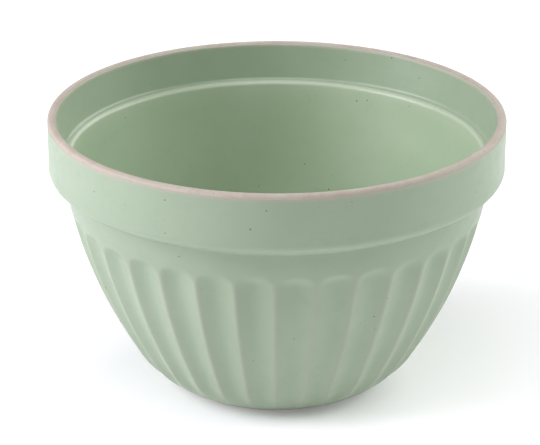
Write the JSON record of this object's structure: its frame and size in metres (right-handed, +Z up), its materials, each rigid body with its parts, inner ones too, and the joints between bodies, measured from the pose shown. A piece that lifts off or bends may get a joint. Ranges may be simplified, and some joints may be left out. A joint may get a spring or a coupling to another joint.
{
  "type": "mixing bowl",
  "caption": "Deep round stoneware mixing bowl with a plain collar, an inner ledge, a fluted wall and a bare lip and foot ring.",
  "frame": {"origin": "centre of the foot ring on the plane that the bowl rests on", "axes": "+Z up along the bowl's axis, -Y towards the side where a ridge between two flutes faces the front"},
  "size_m": [0.24, 0.24, 0.147],
  "materials": {
    "bare_stoneware": "matte",
    "sage_glaze": "satin"
  },
  "bodies": {
    "root": {"stoneware_body": "bare_stoneware", "outer_glaze": "sage_glaze", "inner_glaze": "sage_glaze", "underside_glaze": "sage_glaze"}
  },
  "joints": []
}
